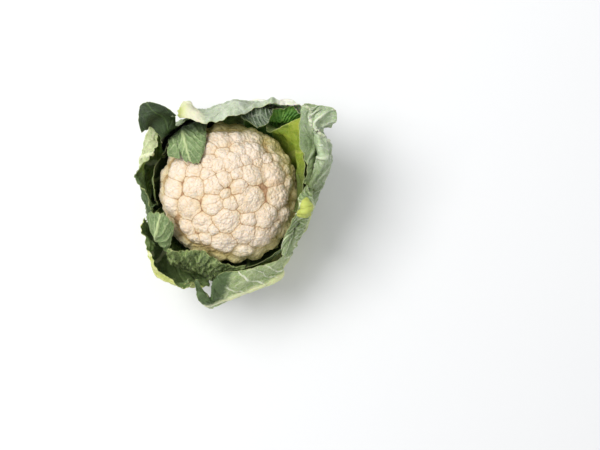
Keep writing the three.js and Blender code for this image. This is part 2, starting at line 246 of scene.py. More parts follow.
def seen(*places):
    """A row of points from places in the view: steps across, steps down, height."""
    row = []
    for across, down, height in places:
        step = VIEW_STEP * (VIEW_EYE - height) / (VIEW_EYE - VIEW_LEVEL)
        x = VIEW_MIDDLE[0] + (across - VIEW_SIZE[0] / 2) * step
        y = VIEW_MIDDLE[1] + (VIEW_SIZE[1] / 2 - down) * step
        row.append((round(x), round(y), height))
    return row


def ring(first, last, radii, heights):
    """A row of points on an arc round the axis, with a height for each or one for all."""
    azimuths = first + (last - first) * np.arange(len(radii)) / (len(radii) - 1)
    return polar(azimuths, np.array(radii), np.array(heights)).round()


# Each leaf's rows above its petiole, across its inner face from one margin to the other.
# The rib runs from its first place across the leaf, at the stalk, to its second, at the margin.
LEAVES = {
    "leaf_right": dict(whorl="outer", azimuth=14, rib=(0.5, 0.93), rows=[
        ring(-12, 46, (86, 89, 94, 99, 102, 103, 102, 101), 76),
        seen((313, 190, 104), (319, 182.1, 110), (323, 173, 114), (327, 160, 116), (326, 147, 118),
             (321, 135, 120), (320, 127, 124), (331, 123, 126)),
        seen((311, 188, 118), (315, 179, 129), (320, 170, 137), (323, 158, 142), (321, 146, 144),
             (318, 134, 143), (316, 122, 142), (336, 109, 142)),
        seen((308, 186, 119), (312, 177, 125), (315, 167, 124), (317, 156, 121), (315, 145, 120),
             (313, 134, 124), (310, 115, 142), (320, 105, 146)),
        seen((305, 184, 122), (308, 176, 129), (311, 167, 131), (311, 156, 131), (310, 145, 131),
             (308, 134, 133), (304, 112, 146), (311, 103, 147)),
        seen((302, 183, 124), (305, 176, 132), (306, 167, 136), (303, 156, 138), (299, 145, 139),
             (299, 133, 141), (300, 109, 147), (304, 103, 147)),
    ]),
    "leaf_top": dict(whorl="outer", azimuth=82, rib=(0.32, 0.2), rows=[
        ring(52, 121, (104, 103, 101, 99, 97, 95, 94, 92, 90, 93, 97), 76),
        seen((302, 109, 100), (292, 105, 104), (280, 104, 107), (267, 104, 109), (252, 106, 111),
             (236, 102, 113), (222, 108, 112), (208, 114, 109), (197, 111, 107), (187, 106, 104),
             (179, 114, 98)),
        seen((302, 109, 109), (292, 105, 114), (280, 104, 118), (268, 104, 121), (251, 107, 123),
             (237, 105, 130), (223, 112, 131), (210, 117, 126), (198, 112, 121), (187, 107, 118),
             (179, 117, 110)),
        seen((303, 110, 113), (291, 107, 117), (280, 106, 120), (269, 107, 124), (254, 111, 129),
             (240, 117, 137), (227, 119, 140), (212, 121, 138), (203, 125, 132), (191, 120, 125),
             (180, 119, 116)),
    ]),
    "leaf_left": dict(whorl="outer", azimuth=160, rib=(0.45, 0.35), rows=[
        ring(133, 197, (102, 101, 100, 99, 97, 95, 93, 91), 76),
        seen((160, 118, 97), (149, 134, 104), (145, 150, 102), (143, 162, 100), (145, 174, 99),
             (147, 185, 97), (150, 198, 95), (155, 207, 92)),
        seen((150, 121, 104), (150, 134, 112), (149, 150, 115), (145, 161, 112), (140, 174, 108),
             (144, 185, 105), (149, 199, 102), (155, 207, 98)),
        seen((159, 124, 108), (161, 136, 116), (158, 149, 119), (150, 159, 118), (132, 177, 112),
             (142, 184, 110), (148, 201, 107), (156, 208, 102)),
    ]),
    "leaf_lower_left": dict(whorl="outer", azimuth=226, rib=(0.35, 0.4), rows=[
        ring(203, 257, (95, 100, 106, 110, 111, 109, 106, 101), 76),
        seen((149, 222, 97), (147, 232, 95), (154, 244, 96), (152, 256, 96), (153, 268, 96),
             (166, 279, 96), (179, 283, 97), (192, 281, 97)),
        seen((146, 218, 106), (143, 230, 103), (149, 243, 104), (151, 257, 108), (157, 269, 107),
             (168, 279, 105), (181, 285, 104), (193, 283, 101)),
        seen((145, 216, 113), (141, 229, 110), (145, 242, 108), (153, 257, 113), (159, 269, 112),
             (169, 279, 110), (182, 288, 108), (194, 284, 104)),
    ]),
    "leaf_bottom": dict(whorl="outer", azimuth=308, rib=(0.4, 0.26), rows=[
        ring(285, 305, (91, 95, 95, 92, 88), (48, 55, 66, 78, 86)),
        seen((270, 280, 57), (275, 277, 71), (279, 271, 85), (280, 266, 97), (278, 259, 107)),
        seen((252, 288, 59), (256, 286, 77), (257, 281, 92), (257, 275, 106), (256, 267, 116)),
        seen((237, 296, 60), (238, 293, 79), (238, 288, 94), (237, 280, 106), (237, 270, 114)),
        seen((223, 303, 64), (221, 299, 83), (220, 293, 96), (218, 284, 105), (217, 273, 111)),
        seen((211, 308, 70), (207, 304, 86), (204, 298, 96), (200, 289, 103), (197, 277, 108)),
        seen((208, 309, 75), (203, 305, 88), (198, 300, 96), (195, 293, 100), (195, 285, 104)),
    ]),
    "middle_leaf_right": dict(whorl="middle", azimuth=335, rib=(0.6, 0.7), rows=[
        ring(313, 347, (83, 83, 84, 84, 84, 84, 83, 82), 80),
        seen((289, 257, 100), (291, 243, 106), (296, 232, 110), (302, 222, 113), (308, 213, 115),
             (310, 204, 115), (310, 197, 113), (310, 184, 104)),
        seen((286, 256, 112), (289, 242, 118), (295, 229, 99), (301, 221, 103), (307, 212, 130),
             (308, 204, 132), (307, 197, 121), (309, 183, 108)),
        seen((284, 256, 114), (286, 241, 123), (290, 229, 119), (296, 219, 121), (303, 212, 136),
             (304, 204, 137), (303, 197, 126), (308, 183, 111)),
        seen((281, 255, 112), (283, 240, 121), (287, 229, 126), (292, 219, 128), (298, 212, 129),
             (299, 204, 130), (299, 196, 127), (307, 184, 113)),
    ]),
    "middle_leaf_upper_right": dict(whorl="middle", azimuth=56, rib=(0.45, 0.3), rows=[
        ring(33, 84, (90, 92, 93, 95, 94, 92, 90, 88), 82),
        seen((303, 119, 102), (294, 120, 103), (285, 122, 103), (276, 123, 103), (267, 121, 103),
             (259, 119, 102), (250, 118, 101), (243, 118, 100)),
        seen((304, 115, 112), (295, 112, 111), (285, 111, 111), (275, 111, 113), (267, 111, 118),
             (258, 107, 120), (248, 110, 116), (241, 113, 112)),
        seen((305, 113, 118), (296, 110, 116), (286, 109, 115), (276, 110, 117), (270, 121, 125),
             (260, 129, 124), (250, 125, 121), (241, 119, 117)),
    ]),
    "middle_leaf_upper_left": dict(whorl="middle", azimuth=128, rib=(0.45, 0.5), rows=[
        ring(117, 146, (91, 92, 92, 92, 91), 80),
        ring(128, 144, (88, 88, 88, 88, 88), (116, 120, 122, 122, 119)),
        seen((176, 122, 120), (171, 120, 127), (164, 120, 131), (157, 123, 131), (151, 128, 124)),
        seen((175, 118, 131), (165, 113, 141), (154, 112, 145), (146, 119, 143), (146, 130, 130)),
        seen((176, 115, 131), (162, 104, 138), (145, 101, 140), (136, 113, 138), (141, 133, 128)),
    ]),
    "middle_leaf_left": dict(whorl="middle", azimuth=194, rib=(0.5, 0.5), rows=[
        ring(168, 220, (82, 83, 84, 84, 84), 66),
        ring(170, 218, (85, 87, 88, 88, 86), (72, 75, 76, 75, 73)),
    ]),
    "middle_leaf_bottom": dict(whorl="middle", azimuth=262, rib=(0.5, 0.5), rows=[
        ring(230, 290, (91, 92, 92, 92, 91, 90, 89), 78),
        seen((166, 257, 93), (175, 262, 93), (187, 265, 93), (200, 268, 93), (213, 271, 92),
             (229, 273, 90), (246, 272, 88)),
        seen((165, 251, 108), (174, 254, 111), (187, 257, 111), (199.9, 259, 110), (214, 263, 105),
             (230, 267, 101), (247, 266, 98)),
        seen((168, 246, 116), (178, 245, 119), (190, 246, 119), (203, 248, 118), (215, 254, 112),
             (230, 263, 105), (248, 263, 102)),
    ]),
    "inner_leaf_upper_right": dict(whorl="inner", azimuth=32, rib=(0.5, 0.6), rows=[
        ring(-2, 62, (81, 82, 82, 83, 83, 82, 81), 90),
        seen((293, 211, 100), (296, 195, 102), (297, 178, 104), (296, 161, 105), (292, 146, 106),
             (284, 136, 106), (268, 131, 104)),
        seen((298, 213, 110), (302, 198, 114), (304, 180, 118), (304, 162, 122), (303, 146, 126),
             (302, 130, 129), (302, 115, 128)),
    ]),
    "inner_leaf_upper_left": dict(whorl="inner", azimuth=118, rib=(0.35, 0.5), rows=[
        ring(103, 150, (81, 82, 82, 82, 81), 90),
        ring(104, 151, (81, 81, 81, 82, 81), (100, 102, 103, 102, 99)),
        seen((207, 127, 112), (194, 127, 114), (182, 131, 113), (175, 135, 111), (169, 141, 108)),
        seen((206, 142, 128), (197, 143, 131), (186, 143, 131), (176, 147, 127), (166, 151, 118)),
        seen((203, 158, 133), (199, 163, 134), (191, 165, 133), (180, 160, 127), (169, 162, 118)),
    ]),
    "inner_leaf_left": dict(whorl="inner", azimuth=165, rib=(0.5, 0.5), rows=[
        ring(152, 190, (81, 81, 81, 81, 80), 84),
        ring(154, 188, (82, 82, 82, 81, 80), (92, 93, 94, 93, 92)),
        ring(155, 186, (82, 83, 82, 81, 80), (98, 101, 102, 101, 98)),
    ]),
    "inner_leaf_lower_left": dict(whorl="inner", azimuth=212, rib=(0.5, 0.5), rows=[
        ring(194, 231, (81, 82, 82, 82, 81), 88),
        seen((152, 223, 102), (154, 231, 104), (158, 239, 105), (164, 247, 105), (171, 252, 103)),
        seen((149, 219, 113), (152, 227, 118), (157, 235, 120), (164, 240, 119), (171, 243, 114)),
        seen((147, 216, 118), (151, 221, 124), (158, 227, 127), (166, 231, 126), (173, 234, 121)),
        seen((150, 211, 117), (154, 209, 122), (161, 211, 126), (168, 214, 127), (176, 217, 124)),
    ]),
    "inner_leaf_bottom": dict(whorl="inner", azimuth=284, rib=(0.5, 0.5), rows=[
        ring(246, 318, (80, 81, 81, 81, 80), (76, 78, 80, 80, 80)),
        ring(248, 317, (80, 81, 81, 81, 80), (80, 82, 86, 88, 86)),
        ring(251, 316, (80, 80, 80, 80, 80), (83, 85, 90, 93, 91)),
    ]),
}

# A leaf's surface, where FINISH doesn't say otherwise. FINISH also gives each its look and a seed.
PLAIN_FINISH = dict(
    corner=0.05,  # how far its far corners are rounded off, as a share of its length
    lobes=1.0,  # depth of the lobes along its margin
    notches=(),  # tears in the far margin, as shares: place across, half-width, depth
    side_notches=(),  # tears in its last side margin, as shares: place along, half-width, depth
    spacing=16.0,  # mm between side veins
    slant=0.95,  # mm that a side vein rises for each mm off the rib
    wander=1.0,  # how far side veins stray
    lines=1.0,  # how clear side veins are
    rib_width=1.0,
    rib_extra=0.0,  # mm added to the height of the rib's outer half
    wave=1.0,  # waves over the blade
    pucker=1.0,  # puckers between the veins
    frill=0.8,  # frills at the margin
    streaks=0.0,  # fine pale ridges
    swell=None,  # a swelling on its back: middle (mm, share), half-sizes (mm, share)
    swell_height=0.0,
)
FINISH = {
    "leaf_right": dict(
        look="grey", seed=1, corner=0.01, lobes=0.6, slant=0.45, spacing=13, frill=0.9, streaks=1.0,
        rib_width=0.5, pucker=3.0, lines=1.3,
    ),
    "leaf_top": dict(
        look="pale", seed=2, corner=0.02, slant=0.9, frill=1.9, wave=2.2, pucker=2.4, lobes=0.5,
        streaks=0.6, lines=0.5, rib_width=1.7, rib_extra=-1.0,
    ),
    "leaf_left": dict(look="yellow_back", seed=3, corner=0.0, lobes=2.4, frill=2.0, pucker=2.2),
    "leaf_lower_left": dict(look="golden_back", seed=4, corner=0.02, lobes=2.4, frill=2.0, pucker=2.2),
    "leaf_bottom": dict(
        look="ribbed", seed=5, corner=0.01, slant=1.1, spacing=15, rib_width=1.5, wander=2.2, lines=1.2,
        pucker=1.8, side_notches=[(0.86, 0.034, 0.62)],
    ),
    "middle_leaf_right": dict(
        look="bulb", seed=6, corner=0.0, lobes=0.5, spacing=9, frill=0.7, wave=0.6, pucker=2.0,
        rib_width=0.8, swell=((-3.5, 0.95), (11.5, 0.045)), swell_height=2.4,
    ),
    "middle_leaf_upper_right": dict(
        look="deep", seed=7, corner=0.0, slant=2.4, spacing=10, frill=1.8, pucker=2.6, rib_width=0.25,
        wander=2.0, lines=0.6,
    ),
    "middle_leaf_upper_left": dict(
        look="glossy", seed=8, corner=0.0, lobes=0.5, frill=1.0, lines=0.5, rib_width=0.4,
    ),
    "middle_leaf_left": dict(look="dark", seed=9),
    "middle_leaf_bottom": dict(
        look="folded", seed=10, corner=0.02, slant=1.6, spacing=14, pucker=4.2, wave=3.0, frill=3.0,
        lobes=2.6, rib_width=0.3, streaks=0.9, wander=2.4, lines=0.8,
    ),
    "inner_leaf_upper_right": dict(
        look="yellow_with_painted_light", seed=11, corner=0.0, frill=0.7, spacing=12, pucker=1.8, streaks=0.4, lines=0.6,
    ),
    "inner_leaf_upper_left": dict(
        look="hooded", seed=12, corner=0.06, slant=1.3, spacing=11, wander=1.8, frill=1.2, rib_width=0.6,
        lines=0.9, notches=[(0.7, 0.022, 0.2)],
    ),
    "inner_leaf_left": dict(look="dark", seed=13),
    "inner_leaf_lower_left": dict(
        look="mid", seed=14, corner=0.08, lobes=1.7, spacing=12, slant=1.3, frill=1.2, wander=1.8,
        rib_width=0.6, lines=0.8,
    ),
    "inner_leaf_bottom": dict(look="dark", seed=15),
}
SEED_STEP = 7.3  # between two leaves' places in the noise

FAR_LOBES = 0.016  # depth of the lobes at the far margin, as a share of the leaf's length
SIDE_LOBES = 0.02  # and at the side margins, as a share of its half-width
VEIN_HALF_WIDTH = 1.8  # of a side vein where it leaves the rib
VEIN_STRAY = 3.5  # mm that a side vein wanders
VEIN_BEND = 0.004  # how it levels off towards the margin
VEIN_RELIEF = 0.8  # how far it pushes the blade out
# Bends of a blade: what scales them, height, size across and along, reach from the margin
# (None where they are all over it), and place in the noise.
BENDS = [
    ("wave", 1.4, 36, 40, None, 11),
    ("pucker", 0.6, 9, 9, None, 13),
    ("pucker", 0.22, 3.5, 3.5, None, 14),
    ("frill", 2.2, 13, 13, 8, 17),
    ("frill", 1.0, 5.5, 5.5, 5, 19),
    ("streaks", 0.5, 30, 2.6, None, 21),
]
BACKING = 0.5  # from a leaf's rows to its inner face
THIN_EDGE = 0.45  # a leaf's thickness at the margin
BLADE_MORE = 0.5  # added to it in the blade
PETIOLE_MORE = 1.2  # and in the petiole
BACK_VEIN = 0.45  # height of the side veins on the back
RIB_FIBRE = 0.22  # height of the fibres along the rib
GROOVE = 0.8  # depth of the groove inside along the rib


def cage(leaf):
    """All rows of a leaf as lists of points, its petiole's first."""
    fan = np.linspace(-1, 1, PETIOLE_POINTS)
    petiole = [polar(leaf["azimuth"] + half * fan, r, z) for half, r, z in PETIOLES[leaf["whorl"]]]
    return petiole + [np.array(row, float) for row in leaf["rows"]]


def sheet(leaf, u, v):
    """Points of a leaf's inner face, at u across and v along."""
    rows = cage(leaf)
    axes = [through([through(row[:, axis], u) for row in rows], v) for axis in range(3)]
    return np.stack(axes, -1)


def grid_normals(points):
    """Unit normals of a grid of points, pointing to the leaf's back."""
    along, across = np.gradient(points, axis=(0, 1))
    normal = np.cross(across, along)
    return normal / np.maximum(np.linalg.norm(normal, axis=-1), 1e-9)[..., None]


def distances(points, axis):
    """Length from the start of each grid line to each of its points."""
    step = np.linalg.norm(np.diff(points, axis=axis), axis=-1)
    return np.concatenate([np.zeros_like(np.take(step, [0], axis)), np.cumsum(step, axis)], axis)


def at_column(grid, columns):
    """One value a row, at that row's fractional column."""
    values = [np.interp(c, np.arange(len(row)), row) for c, row in zip(columns, grid)]
    return np.array(values)[:, None]


def closed_grid(nv, nu):
    """Faces of a closed body: an inner grid of points, then an outer one behind it."""
    ids = np.arange((nv + 1) * (nu + 1)).reshape(nv + 1, nu + 1)
    a, b, c, d = ids[:-1, :-1], ids[1:, :-1], ids[1:, 1:], ids[:-1, 1:]
    back = ids.size
    inner = np.stack([a, b, c, d], -1).reshape(-1, 4)
    outer = np.stack([a, d, c, b], -1).reshape(-1, 4) + back
    rim = np.concatenate([ids[0, :], ids[1:, -1], ids[-1, -2::-1], ids[-2:0:-1, 0]])
    after = np.roll(rim, -1)
    walls = np.stack([rim, after, after + back, rim + back], -1)
    return np.concatenate([inner, outer, walls]).tolist()


def outline(u, v, finish, seed):
    """Moves a grid's places on the sheet for rounded corners, shallow lobes and tears."""
    side = 2 * u - 1
    lobes = noise(side * 3.1, v * 5.0, seed) + 0.5 * noise(side * 7.0, v * 11.0, seed + 3)
    lobes = lobes + 0.4 * noise(side * 19.0, v * 29.0, seed + 4)
    reach = 1 - finish["corner"] * np.abs(side) ** 6
    reach -= FAR_LOBES * (1 + lobes) * finish["lobes"]
    for middle, width, depth in finish["notches"]:
        reach -= depth * bell(u, middle, width)
    wavy = 1 + noise(v * 14.0, np.sign(side) * 2.0, seed + 5)
    wavy = wavy + 0.5 * noise(v * 41.0, np.sign(side) * 2.0, seed + 6)
    narrowing = SIDE_LOBES * smooth(0.35, 0.65, v) * wavy * finish["lobes"] * np.abs(side)
    u = (side * (1 - narrowing) + 1) / 2
    for middle, width, depth in finish["side_notches"]:
        u = u - depth * bell(v, middle, width) * smooth(0.3, 1.0, u)
    return u, v * reach


def measure(flat, rib, v):
    """Of each point of a leaf: mm from its rib, mm along it, and mm in from its margin."""
    cells = flat.shape[1] - 1
    rib_from, rib_to = rib
    rib_column = cells * (rib_from + (rib_to - rib_from) * smooth(0.35, 0.85, v[:, cells // 2]))
    across = distances(flat, 1)
    along = distances(flat, 0)
    to_side = np.minimum(across, across[:, -1:] - across)
    edge = np.minimum(to_side, along[-1:, :] - along)
    x = across - at_column(across, rib_column)
    y = 0.65 * at_column(along, rib_column) + 0.35 * along
    return x, y, edge


def side_veins(x, y, edge, rib_wide, finish, seed):
    """Side veins, which rise from the rib and level off: a phase that is whole on each, and height."""
    half = np.abs(x)
    stray = VEIN_STRAY * finish["wander"] * noise(x / 22, y / 26, seed + 9)
    rise = finish["slant"] * half - VEIN_BEND * half**2 + stray
    phase = (y - rise) / finish["spacing"] + 0.5 * (x > 0) + seed
    to_vein = np.abs(phase - np.round(phase)) * finish["spacing"]
    vein_width = VEIN_HALF_WIDTH * np.clip(1 - half / 95, 0.3, 1)
    off_rib = smooth(0.4 * rib_wide, 1.3 * rib_wide, half)
    return phase, bell(to_vein, 0, vein_width) * off_rib * (0.35 + 0.65 * smooth(0, 12, edge))


def swelling(x, share, finish):
    """0 to 1: a round swelling, drawn out towards one margin."""
    if not finish["swell"]:
        return 0 * x
    (middle_x, middle_share), (half_x, half_share) = finish["swell"]
    narrowing = 1 - 0.55 * smooth(middle_x, middle_x + half_x, x)
    far = ((x - middle_x) / half_x) ** 2 + ((share - middle_share) / (half_share * narrowing)) ** 2
    return np.sqrt(np.clip(1 - far, 0, 1))


def build_leaf(name, leaf, finish, material):
    """A leaf as a thin closed body with a rib, veins, puckers and a frilled margin."""
    whorl = leaf["whorl"]
    nu, nv = GRID[whorl]
    seed = finish["seed"] * SEED_STEP
    u, v = np.meshgrid(np.linspace(0, 1, nu + 1), np.linspace(0, 1, nv + 1))
    u, v = outline(u, v, finish, seed)
    flat = sheet(leaf, u, v)
    x, y, edge = measure(flat, leaf["rib"], v)
    share = y / y[-1:, :].mean()
    in_blade = smooth(40, 75, y)

    # The rib, thick at the stalk and fading to the tip.
    rib_wide = through(RIB_HALF_WIDTH, share) * finish["rib_width"]
    rib_high = RIB_TIP + (RIB_HEIGHT[whorl] - RIB_TIP) * np.clip(1 - share, 0, 1) ** 0.9
    rib_high = rib_high + finish["rib_extra"] * smooth(0.5, 0.9, share)
    rib = np.exp(-((np.abs(x) / rib_wide) ** 2.4))
    ridge = bell(x, 0, np.clip(rib_wide * 0.5, 1.3, 9))

    phase, vein = side_veins(x, y, edge, rib_wide, finish, seed)
    vein = vein * in_blade
    outward = VEIN_RELIEF * vein * finish["pucker"] * in_blade
    for key, height, size_x, size_y, reach, place in BENDS:
        strength = height * finish[key] * in_blade * (np.exp(-edge / reach) if reach else 1)
        outward = outward + strength * noise(x / size_x, y / size_y, seed + place)

    front = flat + grid_normals(flat) * (outward + BACKING)[..., None]
    normal = grid_normals(front)
    back = THIN_EDGE + BLADE_MORE * smooth(0, 5, edge)
    back = back + PETIOLE_MORE * (1 - smooth(0, 60, y)) * smooth(0, 6, edge)
    back = back + rib_high * rib * smooth(0, 5, edge + 3 * (v < 0.4)) + BACK_VEIN * vein
    back = back + RIB_FIBRE * noise(x / 1.8, y / 60, seed + 23) * rib * np.clip(rib_high / 6, 0, 1)
    swell = swelling(x, share, finish)
    back = back + finish["swell_height"] * swell
    groove = GROOVE * ridge * smooth(40, 80, y) * smooth(0, 5, edge)
    inner = front + normal * groove[..., None]
    outer = front + normal * back[..., None]

    def both(first, second):
        return np.concatenate([first.ravel(), second.ravel()])

    attributes = {
        "leafmap": np.stack([both(x, x), both(y, y), np.full(2 * x.size, seed * 10)], -1),
        "phase": both(phase, phase),
        "margin": both(edge, edge),
        "rib": both(ridge, rib),
        "face": both(0 * x, 0 * x + 1),
        "share": both(share, share),
        "swell": both(0 * x, swell),
    }
    points = np.concatenate([inner.reshape(-1, 3), outer.reshape(-1, 3)])
    faces = closed_grid(nv, nu)
    return make_piece(name + "_blade", points, faces, material, name, attributes)


# ---------------------------------------------------------------- leaf material
MARGIN_COLOUR = srgb(198, 204, 140)


def vein_light(s, where, phase, share, finish):
    """How strong the pale lines are: side veins, the finer net between them, and streaks."""
    # Side veins: distance in mm from the nearest whole phase.
    off = s.calc("SUBTRACT", phase, s.calc("ROUND", phase))
    to_vein = s.times(s.calc("ABSOLUTE", off), finish["spacing"])
    uneven = s.ease(s.noise(where, 0.09, 2.0, 0.6), 0.35, 0.6, 0.35, 1.0)
    strength = s.times(s.ease(share, 0.2, 0.45), uneven)
    side_vein = s.times(s.ease(to_vein, 0.25, 0.95, finish["lines"], 0.0), strength)

    # The net, a little warped and drawn out along the leaf.
    warp = s.add("ShaderNodeTexNoise", {"Vector": where, "Scale": 0.12, "Detail": 1.0})
    shift = s.add("ShaderNodeVectorMath", {0: warp.outputs["Color"], "Scale": 5.0}, operation="SCALE")
    bent = s.add("ShaderNodeVectorMath", {0: where, 1: shift.outputs[0]}, operation="ADD").outputs[0]
    drawn = s.scaled(bent, (1.0, 0.7, 1.0))
    net = s.ease(s.voronoi(drawn, 0.17, "DISTANCE_TO_EDGE"), 0.015, 0.075, 1.0, 0.0)
    small_net = s.ease(s.voronoi(drawn, 0.5, "DISTANCE_TO_EDGE"), 0.02, 0.16, 1.0, 0.0)
    thin = s.noise(s.scaled(bent, (0.05, 0.75, 1.0)), 1.0, 2.0, 0.7)
    light = s.calc("MAXIMUM", side_vein, s.times(net, 0.45))
    light = s.calc("MAXIMUM", light, s.times(small_net, 0.22))
    return s.calc("MAXIMUM", light, s.ease(thin, 0.52, 0.66, 0.0, finish["streaks"]))


def shaded(s, colours, broad, patch, patch_from, patch_to):
    """A first colour that goes over to a second in broad fields, and to a third in patches."""
    first, second, third = [srgb(*colour) for colour in colours]
    both = s.mix(s.ease(broad, 0.35, 0.65), first, second)
    return s.mix(s.ease(patch, patch_from, patch_to, 0.0, 0.6), both, third)


def leaf_material(name, finish, inside, outside, vein_inside, vein_outside, rib_colours, gloss=0.42,
                  paling=(0.05, 0.4), tip=None, own_and_painted_tints=(), inside_painted_shade=()):
    """Green blade, darker and glossier inside, paler and waxy on its back, with a net of pale veins.

    Colours are red, green and blue from 0 to 255. A tint, which on most leaves is painted shade or
    painted light and on a few is the leaf's own colour, comes in between two places across the leaf in mm
    from its rib, and between two places along it from 0 at the stalk to 1 at the margin. The inside
    painted shade keeps to the inner face. The paling is where the stalk's pale colour ends, along the leaf
    in the same way. The tip is the colour of the leaf's swelling.
    """
    s = Shader(name)
    where = s.attribute("leafmap", "Vector")
    face = s.attribute("face")
    share = s.attribute("share")
    broad = s.noise(where, 0.035, 3.0, 0.55)
    patch = s.noise(where, 0.16, 3.0, 0.6)
    fine = s.noise(where, 0.9, 2.0, 0.6)

    green_in = shaded(s, inside, broad, patch, 0.42, 0.72)
    green_out = shaded(s, outside, broad, patch, 0.38, 0.7)
    green = s.mix(face, green_in, green_out)
    darker = s.mix(1.0, green, srgb(150, 160, 140), "MULTIPLY")
    green = s.mix(s.ease(fine, 0.35, 0.75, 0.0, 0.35), green, darker)
    vein_colour = s.mix(face, srgb(*vein_inside), srgb(*vein_outside))
    light = vein_light(s, where, s.attribute("phase"), share, finish)
    colour = s.mix(s.times(light, 0.68), green, vein_colour)

    # Pale towards the stalk and along the rib, and a thin light line at the margin.
    streak = s.noise(s.scaled(where, (0.9, 0.03, 1.0)), 1.0, 2.0, 0.6)
    rib_colour = s.mix(s.ease(streak, 0.35, 0.7), *[srgb(*c) for c in rib_colours])
    rib_colour = s.mix(s.ease(share, 0.3, 0.95, 0.0, 0.5), rib_colour, vein_colour)
    on_rib = s.ease(s.attribute("rib"), 0.25, 0.85, 0.0, 0.92)
    pale = s.calc("MAXIMUM", s.ease(share, *paling, 1.0, 0.0), on_rib)
    colour = s.mix(pale, colour, rib_colour)
    # Each tint is painted shade or painted light on one part of a leaf, or on a few leaves its own colour;
    # the inside painted shade keeps to the inner face.
    uneven_x = s.plus(s.axes(where)[0], s.times(patch, 10.0))
    uneven_share = s.plus(share, s.times(patch, 0.06))
    inner_face = s.calc("SUBTRACT", 1.0, face)
    for k, (across, along, tint) in enumerate([*own_and_painted_tints, *inside_painted_shade]):
        amount = s.times(s.ease(uneven_x, *across), s.ease(uneven_share, *along))
        if k >= len(own_and_painted_tints):
            amount = s.times(amount, inner_face)
        colour = s.mix(amount, colour, srgb(*tint))
    if tip:
        colour = s.mix(s.ease(s.attribute("swell"), 0.0, 0.5, 0.0, 0.95), colour, srgb(*tip))
    colour = s.mix(s.ease(s.attribute("margin"), 0.0, 0.9, 0.5, 0.0), colour, MARGIN_COLOUR)

    # Veins stand out on the back and lie in grooves inside.
    raised = s.times(light, s.calc("SUBTRACT", s.times(face, 1.6), 0.8))
    raised = s.plus(raised, s.times(fine, 0.5))
    normal = s.bump(raised, 0.0007, 0.8)
    rough_in = s.ease(patch, 0.3, 0.7, gloss - 0.06, gloss + 0.06)
    rough_out = s.ease(patch, 0.3, 0.7, 0.5, 0.62)
    return s.surface({
        "Base Color": colour,
        "Roughness": s.blend(face, rough_in, rough_out),
        "Normal": s.bump(s.times(streak, pale), 0.0006, 0.6, normal),
        "Subsurface Weight": SUBSURFACE_WEIGHT,
        "Subsurface Radius": (0.55, 1.0, 0.25),
        "Subsurface Scale": 0.0014,
        "Specular IOR Level": 0.4,
    })


